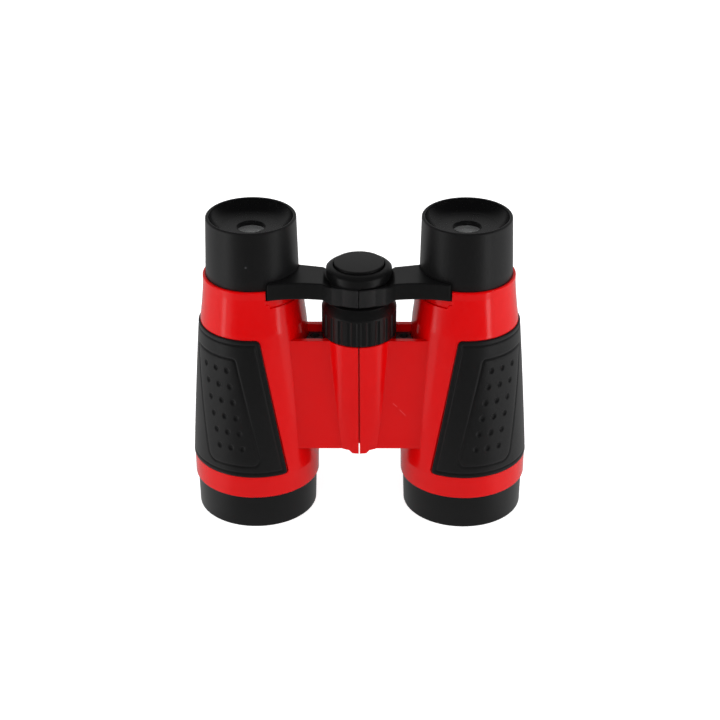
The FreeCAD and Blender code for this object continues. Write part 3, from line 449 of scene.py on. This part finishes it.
def clip_steel():
    """Spring steel with fine brushing."""
    finish = new_finish("spring steel")
    place = vector(finish, "MULTIPLY", place_mm(finish), BRUSH_STRETCH)
    brushing = noise(finish, place, BRUSH_SIZE, detail=3.0)
    finish.node("ShaderNodeOutputMaterial", None, {"Surface": finish.node("ShaderNodeBsdfPrincipled", None, {
        "Base Color": blend_colours(finish, brushing, opaque(STEEL_DARK), opaque(STEEL_PALE)),
        "Metallic": 1.0,
        "Roughness": STEEL_ROUGHNESS + brushing * BRUSH_ROUGHNESS,
        "Normal": surface_normal(finish, brushing, BRUSH_DEPTH, STEEL_EDGE),
    })})
    return finish.owner


finishes["clip_steel"] = clip_steel()
print("steel finish:", finishes["clip_steel"].name)

# %% [markdown]
# ## Dress the pieces
#
# The record says which finish each piece takes, so one loop dresses them all.

# %% Dress
slot_of = {part["node"]: part["material_slot"] for part in frame["record"]["subparts"]}
for name, piece in nodes.items():
    for material_slot in piece.material_slots:
        material_slot.material = finishes[slot_of[name]]
print("dressed:", len(slot_of))

# %% [markdown]
# ## The grips
#
# Each grip is a soft panel that wraps the outer side of its barrel from front to back. Its rim is rounded, a
# groove runs round it a little way in, and on the front and on the back a second line frames three columns
# of small dimples. The outline and the surface are plain formulas, so the panel is a fine grid over the
# side of the barrel whose height is worked out point by point. Displacing a real mesh keeps the dimples true
# from every side, which a bump map would not.

# %% Sizes of a grip, from the frame
def radius_at(node, axis_x, height, reach=0.4):
    """The largest distance from an upright axis among a node's points near a height, in millimetres."""
    points = np.array([vertex.co for vertex in nodes[node].data.vertices]) / MM
    near = points[np.abs(points[:, 2] - height) < reach]
    return np.hypot(near[:, 0] - axis_x, near[:, 1]).max()


grip_low, grip_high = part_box("left_grip")
GRIP_FOOT = grip_low.z / MM
GRIP_TOP = grip_high.z / MM
RADIUS_FOOT = radius_at("left_grip", -BARREL_X, GRIP_FOOT)
RADIUS_TOP = radius_at("left_grip", -BARREL_X, GRIP_TOP)
EDGE_FOOT = grip_high.x / MM + BARREL_X
print("grip from", round(GRIP_FOOT, 2), "to", round(GRIP_TOP, 2), "radius", round(RADIUS_FOOT, 2),
      round(RADIUS_TOP, 2), "edge", round(EDGE_FOOT, 2))

# %% [markdown]
# The grip is a cone with a slight belly. Its front edge leans, and its corners are rounded. The grid is
# finer near the rim than in the middle, because the rim turns down within about a third of a millimetre.

# %% Outline of a grip
EDGE_TOP = 2.3
CORNER = 1.2
SIDE_SAG = 0.12
THICKNESS = 0.75
FINE_STEPS = [0.0, 0.05, 0.11, 0.18, 0.26, 0.36]
COARSE_FROM = 0.5


def side_radius(height):
    """The outside of a grip, slightly barrelled between its foot and its top."""
    share = (height - GRIP_FOOT) / (GRIP_TOP - GRIP_FOOT)
    return RADIUS_FOOT + (RADIUS_TOP - RADIUS_FOOT) * share + SIDE_SAG * 4 * share * (1 - share)


def edge_across(height):
    """How far the slanted front edge lies from the barrel axis."""
    share = (height - GRIP_FOOT) / (GRIP_TOP - GRIP_FOOT)
    return EDGE_FOOT + (EDGE_TOP - EDGE_FOOT) * share


def rounded_distance(first, second, corner):
    """How far inside a rounded corner a point is, from its distances to the two sides."""
    near_first = np.maximum(corner - first, 0)
    near_second = np.maximum(corner - second, 0)
    inside = np.minimum(first, second)
    return np.where((near_first > 0) & (near_second > 0), corner - np.hypot(near_first, near_second), inside)


def fine_ends(length, step):
    """Steps along a length, finer at both ends where the rim is rounded."""
    middle = np.linspace(COARSE_FROM, length - COARSE_FROM, int((length - 2 * COARSE_FROM) / step))
    return np.array(FINE_STEPS + list(middle) + [length - value for value in reversed(FINE_STEPS)])


print("the front edge leans from", round(edge_across(GRIP_FOOT), 2), "to", round(edge_across(GRIP_TOP), 2))

# %% [markdown]
# The framed panel is laid out on the unrolled side of the barrel: across is the arc from the front of the
# barrel, and up is the height. Its two long sides lean, so that it is narrower at the foot. Places that lean
# are given at the foot and at the top.

# %% Relief of a grip
RIM_ROUND = 0.35
BORDER_IN = 1.35
BORDER_DEPTH = 0.26
BORDER_WIDTH = 0.27
PANEL_FOOT = 20.7
PANEL_TOP = 54.0
PANEL_INNER = (2.2, -4.8)
PANEL_OUTER = (-14.3, -20.3)
PANEL_CORNER_TOP = 1.0
PANEL_CORNER_FOOT = 2.6
PANEL_LINE_DEPTH = 0.25
PANEL_LINE_WIDTH = 0.30
PANEL_RISE = 0.09
PANEL_RISE_FROM = 0.3
PANEL_RISE_OVER = 1.2
PANEL_RISE_CURVE = 0.5
DIMPLE_ROWS = 6
DIMPLE_FIRST = 26.4
DIMPLE_PITCH = 4.77
DIMPLE_COLUMNS = ((-10.1, -15.0), (-6.5, -10.9), (-3.1, -7.2))
DIMPLE_RADIUS = 0.80
DIMPLE_TALL = 1.2
DIMPLE_DEPTH = 0.44
DIMPLE_BOWL = 0.8


def across_at(ends, height):
    """Where a leaning side of the panel runs at a height."""
    return ends[0] + (ends[1] - ends[0]) * (height - PANEL_FOOT) / (PANEL_TOP - PANEL_FOOT)


def groove(distance, depth, width):
    """The depth of a round-bottomed groove at a distance from its middle."""
    return depth * np.exp(-(distance / width) ** 2)


def dimples(across, height):
    """The depth of the dimples, in columns that lean as the panel does."""
    drop = 0.0
    for row in range(DIMPLE_ROWS):
        middle = DIMPLE_FIRST + DIMPLE_PITCH * row
        for foot, top in DIMPLE_COLUMNS:
            column = foot + (top - foot) * row / (DIMPLE_ROWS - 1)
            away = np.hypot(across - column, (height - middle) / DIMPLE_TALL) / DIMPLE_RADIUS
            drop = drop + DIMPLE_DEPTH * np.clip(1 - away ** 2, 0, 1) ** DIMPLE_BOWL
    return drop


def relief(across, height, rim):
    """How far the surface lies under the smooth outside of the grip."""
    turned_down = RIM_ROUND - np.sqrt(np.maximum(RIM_ROUND ** 2 - (RIM_ROUND - rim) ** 2, 0))
    drop = np.where(rim < RIM_ROUND, turned_down, 0)
    drop = drop + groove(rim - BORDER_IN, BORDER_DEPTH, BORDER_WIDTH)
    sides = np.minimum(across_at(PANEL_INNER, height) - across, across - across_at(PANEL_OUTER, height))
    ends = np.minimum(height - PANEL_FOOT, PANEL_TOP - height)
    corner = np.where(height > (PANEL_FOOT + PANEL_TOP) / 2, PANEL_CORNER_TOP, PANEL_CORNER_FOOT)
    inside = rounded_distance(sides, ends, corner)
    drop = drop + groove(inside, PANEL_LINE_DEPTH, PANEL_LINE_WIDTH)
    risen = np.clip((inside - PANEL_RISE_FROM) / PANEL_RISE_OVER, 0, 1) ** PANEL_RISE_CURVE
    return drop - PANEL_RISE * risen + dimples(across, height)


print("dimples on each side of a grip:", DIMPLE_ROWS * len(DIMPLE_COLUMNS))

# %% [markdown]
# The grid runs round the barrel from the front edge over the outer side to the back edge, and the back half
# mirrors the front half. Its rows are level, and its columns follow the slanted edge, so that the rim stays
# smooth.

# %% Points of a grip
GRID = 0.22


def grip_points():
    """The outer and the inner skin of the left grip as grids of points."""
    heights = GRIP_FOOT + fine_ends(GRIP_TOP - GRIP_FOOT, GRID)
    length = (math.pi + 2 * math.asin(edge_across(GRIP_FOOT) / RADIUS_FOOT)) * RADIUS_FOOT
    shares = fine_ends(length, GRID) / length
    height = heights[:, None] * np.ones_like(shares)[None, :]
    radius = side_radius(height)
    from_end = np.minimum(height - GRIP_FOOT, GRIP_TOP - height)
    short = np.maximum(CORNER - from_end, 0)
    corner_in = CORNER - np.sqrt(CORNER ** 2 - short ** 2)
    edge = np.arcsin((edge_across(height) - corner_in) / radius)
    turn = edge - shares[None, :] * (math.pi + 2 * edge)
    front_turn = np.where(turn > -math.pi / 2, turn, -math.pi - turn)
    straight_edge = radius * np.arcsin(edge_across(height) / radius)
    lean = math.cos(math.atan((EDGE_FOOT - EDGE_TOP) / (GRIP_TOP - GRIP_FOOT)))
    rim = rounded_distance((straight_edge - radius * front_turn) * lean, from_end, CORNER)
    outer = radius - relief(radius * front_turn, height, np.maximum(rim, 0))
    skins = []
    for skin in (outer, radius - THICKNESS):
        skins.append(np.stack([-BARREL_X + skin * np.sin(turn), -skin * np.cos(turn), height], axis=-1))
    return skins


outer_skin, inner_skin = grip_points()
print("grid of a grip:", outer_skin.shape[:2])

# %% [markdown]
# A skin alone would be a sheet without thickness. An inner skin and a wall close each panel, so that it is a
# solid piece. The right grip mirrors the left one.

# %% Build the grips
def new_piece(name, points, faces):
    """A mesh object in the scene, from its points in metres and its faces."""
    mesh = bpy.data.meshes.new(name)
    mesh.from_pydata(points, [], faces)
    piece = bpy.data.objects.new(name, mesh)
    bpy.context.scene.collection.objects.link(piece)
    return piece


def closed_panel(name, outer, inner, flip):
    """A mesh object from two skins of the same grid, with a wall round their rim."""
    rows, columns = outer.shape[:2]
    count = rows * columns
    points = np.concatenate([outer.reshape(-1, 3), inner.reshape(-1, 3)]) * MM
    index = np.arange(count).reshape(rows, columns)
    corners = [index[:-1, :-1], index[:-1, 1:], index[1:, 1:], index[1:, :-1]]
    quads = np.stack(corners, axis=-1).reshape(-1, 4)
    rim = np.concatenate([index[0, :-1], index[:-1, -1], index[-1, :0:-1], index[:0:-1, 0]])
    following = np.roll(rim, -1)
    wall = np.stack([following, rim, rim + count, following + count], axis=-1)
    faces = np.concatenate([quads, quads[:, ::-1] + count, wall])
    if flip:
        faces = faces[:, ::-1]
    return new_piece(name, points.tolist(), faces.tolist())


for side, mirror in (("left", 1), ("right", -1)):
    away = np.array([mirror, 1, 1])
    grip = closed_panel(side + "_soft_grip", outer_skin * away, inner_skin * away, flip=mirror > 0)
    grip.data.shade_smooth()
    grip.data.materials.append(finishes["grip_rubber"])
    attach(grip, side + "_barrel")
    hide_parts(side + "_grip")
    print(grip.name, "points:", len(grip.data.vertices))

# %% [markdown]
# ## The focus screw
#
# Turning the wheel turns this screw, and its thread lifts the bridge with both eyepieces. At rest it hides
# in the hub, but it shows as soon as the eyepieces are raised. The thread has several starts, because one
# turn lifts the bridge by 5 mm. Its surface is again a formula: the radius falls by the thread's depth
# between the crests, and the crests climb as the angle goes round.

# %% Rings of the focus screw
THREAD_RADIUS = 3.0
THREAD_DEPTH = 0.45
THREAD_LEAD = 5.0
THREAD_STARTS = 4
THREAD_FOOT = 66.0
THREAD_STEP = 0.08
CREST_SHARE = 0.25
SPINDLE_RADIUS = 1.6
SPINDLE_CHAMFER = 0.2
SHANK_FOOT = 54.9
TIP_RADIUS = 0.01
SEGMENTS = 96
CHAMFER = 0.6
screw_low, screw_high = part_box("focus_screw")
SCREW_X = (screw_low.x + screw_high.x) / 2 / MM
SCREW_Y = (screw_low.y + screw_high.y) / 2 / MM


def screw_rings():
    """The radius of the screw round each of its rings, from the lower end to the top."""
    foot, top = screw_low.z / MM, screw_high.z / MM
    angles = np.linspace(0, 2 * math.pi, SEGMENTS, endpoint=False)
    plain = [(foot, TIP_RADIUS), (foot, SPINDLE_RADIUS - SPINDLE_CHAMFER),
             (foot + SPINDLE_CHAMFER, SPINDLE_RADIUS), (SHANK_FOOT, SPINDLE_RADIUS),
             (SHANK_FOOT, THREAD_RADIUS), (THREAD_FOOT, THREAD_RADIUS)]
    rings = [(height, np.full(SEGMENTS, radius)) for height, radius in plain]
    for height in np.arange(THREAD_FOOT + THREAD_STEP, top, THREAD_STEP):
        phase = (height / THREAD_LEAD - angles / (2 * math.pi)) * THREAD_STARTS % 1.0
        flank = np.clip((np.abs(phase - 0.5) - CREST_SHARE / 2) / (0.5 - CREST_SHARE), 0, 1)
        fade = min(1.0, (height - THREAD_FOOT) / CHAMFER)
        limit = THREAD_RADIUS - max(0.0, CHAMFER - (top - height))
        rings.append((height, np.minimum(THREAD_RADIUS - THREAD_DEPTH * fade * flank, limit)))
    rings.append((top, np.full(SEGMENTS, THREAD_RADIUS - CHAMFER)))
    rings.append((top, np.full(SEGMENTS, TIP_RADIUS)))
    return angles, rings


screw_angles, screw_heights = screw_rings()
print("screw rings:", len(screw_heights))

# %% [markdown]
# Rings of the same number of points join up into a tube, one ring after the other, and a disc closes each
# end. The Screw modifier could draw the thread too, but not the spindle, the chamfers and the thread's
# run-out in one closed skin.

# %% Build the focus screw
def turned_piece(name, angles, rings, middle_x, middle_y):
    """A closed mesh object from rings of radii about an upright axis."""
    points = [((middle_x + radius * math.cos(angle)) * MM, (middle_y + radius * math.sin(angle)) * MM,
               height * MM) for height, radii in rings for angle, radius in zip(angles, radii)]
    count = len(angles)
    faces = [list(reversed(range(count)))]
    for low in range(0, (len(rings) - 1) * count, count):
        for step in range(count):
            following = (step + 1) % count
            faces.append((low + step, low + following, low + count + following, low + count + step))
    last = (len(rings) - 1) * count
    faces.append([last + step for step in range(count)])
    return new_piece(name, points, faces)


screw = turned_piece("threaded_screw", screw_angles, screw_heights, SCREW_X, SCREW_Y)
screw.data.materials.append(finishes["inner_black"])
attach(screw, "focus_wheel")
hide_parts("focus_screw")
print(screw.name, "points:", len(screw.data.vertices))

# %% [markdown]
# ## Floor
#
# The binoculars stand on a plain pale sheet. To the camera it is lit white, with only a soft shadow where
# the rings touch it. Glossy surfaces see it as in a studio with a dark room in front: dim straight before
# the object, and bright to both sides. That is what gives the black tubes their dark middles and soft edges.
# Each of the two bright strips has its side, its angle from straight ahead in degrees, and its strength.

# %% Glow of the floor
NEAR_FROM_TO = (5.0, 70.0)
NEAR_GLOW = (0.32, 0.18)
GAP_FROM_TO = (138.0, 190.0)
GAP_GLOW = 0.05
SIDE_FROM_TO = (-14.0, 8.0)
SIDE_GLOW = 0.50
STRIPS = ((1, 48.0, 2.2), (-1, 62.0, 1.5))
STRIP_START = (145.0, 185.0)
STRIP_END = (330.0, 390.0)
STRIP_EDGE = (10.0, 20.0)


def strip(finish, place, side, turn, strength):
    """A bright strip on the sheet that runs out from one barrel, as a soft box reflects there."""
    angle = math.radians(turn)
    outward = Vector((side * math.sin(angle), -math.cos(angle), 0.0))
    across = Vector((outward.y, -outward.x, 0.0))
    start = Vector((side * BARREL_X, 0.0, 0.0))
    run = along(finish, place, start, outward)
    edge = abs(along(finish, place, start, across)).ramp(*STRIP_EDGE, strength, 0)
    return edge * run.ramp(*STRIP_START) * run.ramp(*STRIP_END, 1, 0)


def floor_glow(finish, place):
    """What gloss sees on the sheet: dim in front, bright to both sides, and two bright strips."""
    before = 0.0 - coordinate(finish, place, 1)
    side = (abs(coordinate(finish, place, 0)) - BARREL_X - before).ramp(*SIDE_FROM_TO)
    near = before.ramp(*NEAR_FROM_TO, *NEAR_GLOW) * before.ramp(*GAP_FROM_TO, 1.0, GAP_GLOW)
    glow = side * SIDE_GLOW + (1.0 - side) * near
    for bright in STRIPS:
        glow = glow + strip(finish, place, *bright)
    return glow


print("bright strips on the sheet:", len(STRIPS))

# %% [markdown]
# A real sheet can't look white to the camera and dim in a reflection, but a studio shields it with black
# cards to the same end. The Light Path node does this without cards: it says what kind of ray asks, and the
# sheet answers each kind with a look of its own.

# %% Floor
WHITE = (1.0, 1.0, 1.0)
PAPER = (0.86, 0.86, 0.86)
LIT = 0.76
FLOOR_HALF = 3.0


def ray(finish, kind):
    """1 for rays of a kind, such as Camera or Glossy, and 0 for the others."""
    return finish.node("ShaderNodeLightPath", output=f"Is {kind} Ray")


def floor_finish():
    """A pale sheet: white to the camera and through glass, and the glow in reflections."""
    finish = new_finish("pale sheet")
    glow = floor_glow(finish, place_mm(finish))
    paper = finish.node("ShaderNodeBsdfDiffuse", None, {"Color": opaque(PAPER)})
    lit = finish.node("ShaderNodeEmission", None, {"Color": opaque(WHITE), "Strength": LIT})
    mirror = finish.node("ShaderNodeEmission", None, {"Color": opaque(WHITE), "Strength": glow})
    seen_sheet = finish.node("ShaderNodeAddShader", None, {0: paper, 1: lit})
    plain = finish.node("ShaderNodeMixShader", None, {0: ray(finish, "Glossy"), 1: paper, 2: mirror})
    seen = ray(finish, "Camera") + ray(finish, "Transmission")
    finish.node("ShaderNodeOutputMaterial", None,
                {"Surface": finish.node("ShaderNodeMixShader", None, {0: seen, 1: plain, 2: seen_sheet})})
    return finish.owner


corners = [(-FLOOR_HALF, -FLOOR_HALF, 0), (FLOOR_HALF, -FLOOR_HALF, 0), (FLOOR_HALF, FLOOR_HALF, 0),
           (-FLOOR_HALF, FLOOR_HALF, 0)]
floor = new_piece("floor", corners, [(0, 1, 2, 3)])
floor.data.materials.append(floor_finish())
print("floor in m:", 2 * FLOOR_HALF)

# %% [markdown]
# ## Studio
#
# The world is a white backdrop to the camera and through glass. For diffuse light it is a plain soft sky,
# and in gloss it is bright only behind the object, where the backdrop hangs.

# %% World
SKY = 0.32
BACKDROP_FROM_TO = (0.05, 0.88)
BACKDROP_GLOSS = (0.015, 0.31)


def studio_world():
    """A white backdrop for the camera, a soft sky for diffuse light, and a dark room in front for gloss."""
    world = bpy.data.worlds.new("studio")
    bpy.context.scene.world = world
    finish = Finish(world)
    way = finish.node("ShaderNodeTexCoord", output="Generated")
    backdrop = coordinate(finish, way, 1).ramp(*BACKDROP_FROM_TO, *BACKDROP_GLOSS)
    seen = ray(finish, "Camera") + ray(finish, "Transmission")
    glossy = ray(finish, "Glossy")
    strength = seen + (backdrop * glossy + SKY * (1 - glossy)) * (1 - seen)
    shade = finish.node("ShaderNodeBackground", None, {"Color": opaque(WHITE), "Strength": strength})
    finish.node("ShaderNodeOutputWorld", None, {"Surface": shade})


studio_world()
print("sky:", SKY)

# %% [markdown]
# Two large soft lamps stand to the sides, and a weaker one in front and behind. A lamp that gloss can see
# makes a bright blot in every dish and dimple, so these only light the colours, and gloss sees the sheet and
# the backdrop. Each lamp has its place and its size in metres, and its power in watts.

# %% Lamps
LAMPS = {
    "left lamp": ((-0.62, -0.16, 0.28), (0.40, 0.50), 2.4),
    "right lamp": ((0.62, -0.16, 0.28), (0.40, 0.50), 2.75),
    "front lamp": ((0.0, -0.78, 0.40), (0.50, 0.40), 1.35),
    "back lamp": ((0.0, 0.80, 0.40), (0.50, 0.40), 1.2),
}

for name, (place, size, power) in LAMPS.items():
    lamp = bpy.data.lights.new(name, "AREA")
    lamp.shape = "RECTANGLE"
    lamp.size, lamp.size_y = size
    lamp.energy = power
    holder = bpy.data.objects.new(name, lamp)
    holder.visible_glossy = False
    holder.location = place
    holder.rotation_euler = (Vector(place) - CAMERA_AIM).to_track_quat("Z", "Y").to_euler()
    bpy.context.scene.collection.objects.link(holder)
print("lamps:", ", ".join(LAMPS))

# %% [markdown]
# ## View
#
# The scene is shown through the Standard view transform. The dressed model must stay in the box of the
# frame.

# %% Finish
view = bpy.context.scene.view_settings
view.view_transform = "Standard"
